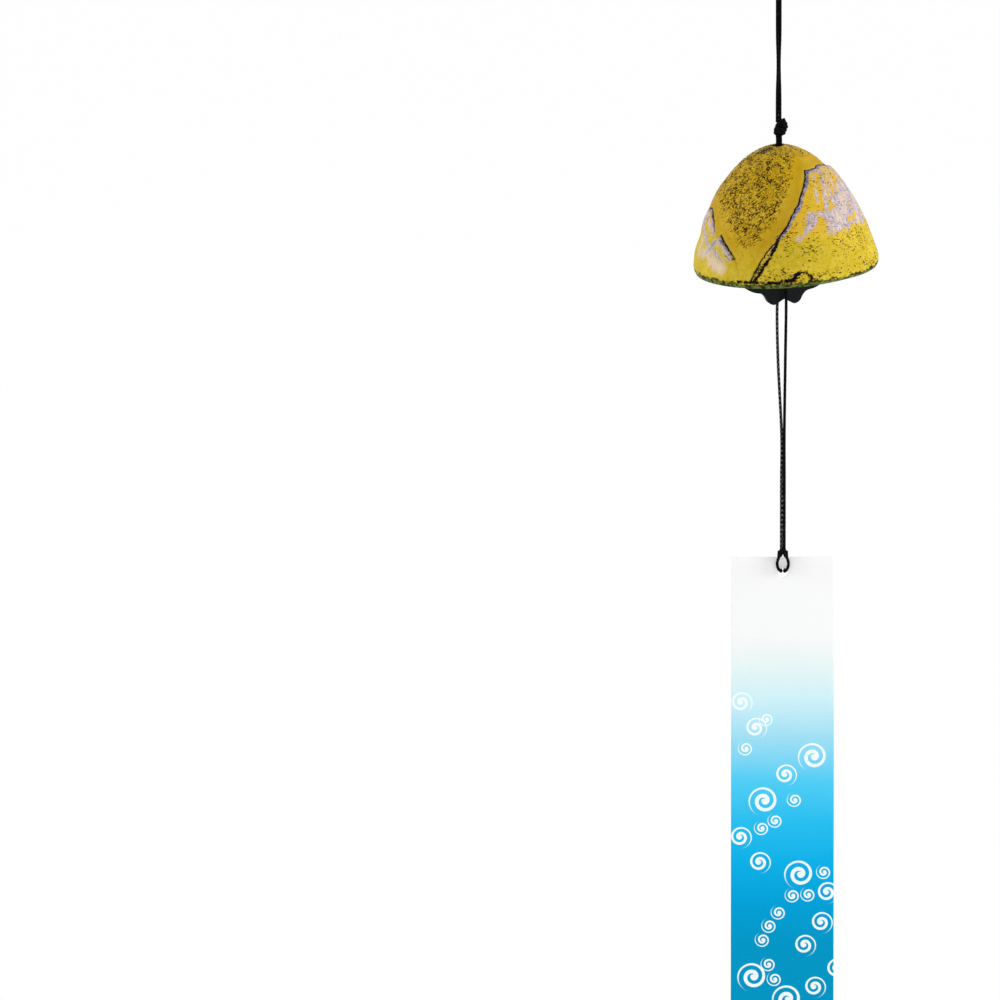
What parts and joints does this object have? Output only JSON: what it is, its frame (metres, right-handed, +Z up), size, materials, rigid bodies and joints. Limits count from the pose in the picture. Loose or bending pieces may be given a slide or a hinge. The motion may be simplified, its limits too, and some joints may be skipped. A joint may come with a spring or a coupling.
{
  "type": "wind bell",
  "caption": "Cast-iron wind bell with a painted mountain relief, an iron clapper plate and a paper strip, hung on a thin black braided cord.",
  "frame": {"origin": "inside top of the hanging loop, where the hook bears", "axes": "+Z up along the hanging cord, -Y towards the bell's front, +X to the right seen from the front"},
  "size_m": [0.0761, 0.0754, 0.4673],
  "materials": {
    "bell_paint": "ochre yellow paint rubbed over rough dark iron, with pale lavender snow and a green-black rim",
    "clapper_iron": "black baked lacquer, satin",
    "cord": "black waxed round braid",
    "strip_paper": "matte card, white at the top, sky blue below, with white spirals"
  },
  "bodies": {
    "hook_loop": {"hanging_loop": "cord"},
    "hanger": {"hanger_strand_left": "cord", "hanger_strand_right": "cord"},
    "bell_knots": {"top_knot": "cord", "neck_strand_left": "cord", "neck_strand_right": "cord", "inner_knot": "cord"},
    "bell": {"bell": "bell_paint"},
    "clapper_line": {"inner_strand_front": "cord", "inner_strand_back": "cord", "clapper_knot": "cord"},
    "clapper": {"clapper": "clapper_iron"},
    "lower_line": {"front_strand": "cord", "back_strand": "cord"},
    "strip_hitch": {"strip_hitch": "cord"},
    "strip": {"paper_strip": "strip_paper"}
  },
  "joints": [
    {"name": "cord_swing", "type": "hinge", "parent": "hook_loop", "child": "hanger", "pos_m": [0, 0, -0.01415], "axis": [1, 0, 0], "range_deg": [-25, 25]},
    {"name": "bell_sway", "type": "hinge", "parent": "hanger", "child": "bell_knots", "pos_m": [0, 0, -0.06698], "axis": [0, 1, 0], "range_deg": [-20, 20]},
    {"name": "bell_rock", "type": "hinge", "parent": "bell_knots", "child": "bell", "pos_m": [0, 0, -0.08452], "axis": [0, 1, 0], "range_deg": [-3.5, 10]},
    {"name": "clapper_swing", "type": "hinge", "parent": "bell_knots", "child": "clapper_line", "pos_m": [0, 0, -0.08787], "axis": [-0.342, 0.9397, 0], "range_deg": [-12, 10.5]},
    {"name": "clapper_rock", "type": "hinge", "parent": "clapper_line", "child": "clapper", "pos_m": [0.002, 0, -0.12531], "axis": [-0.342, 0.9397, 0], "range_deg": [-15, 15]},
    {"name": "line_swing", "type": "hinge", "parent": "clapper_line", "child": "lower_line", "pos_m": [0.002, 0, -0.12531], "axis": [-0.342, 0.9397, 0], "range_deg": [-40, 40]},
    {"name": "strip_turn", "type": "hinge", "parent": "lower_line", "child": "strip_hitch", "pos_m": [0.002, 0, -0.24736], "axis": [0, 0, 1], "range_deg": [-180, 180]},
    {"name": "strip_flap", "type": "hinge", "parent": "strip_hitch", "child": "strip", "pos_m": [0.002, 0, -0.25697], "axis": [1, 0, 0], "range_deg": [-8, 8]}
  ]
}
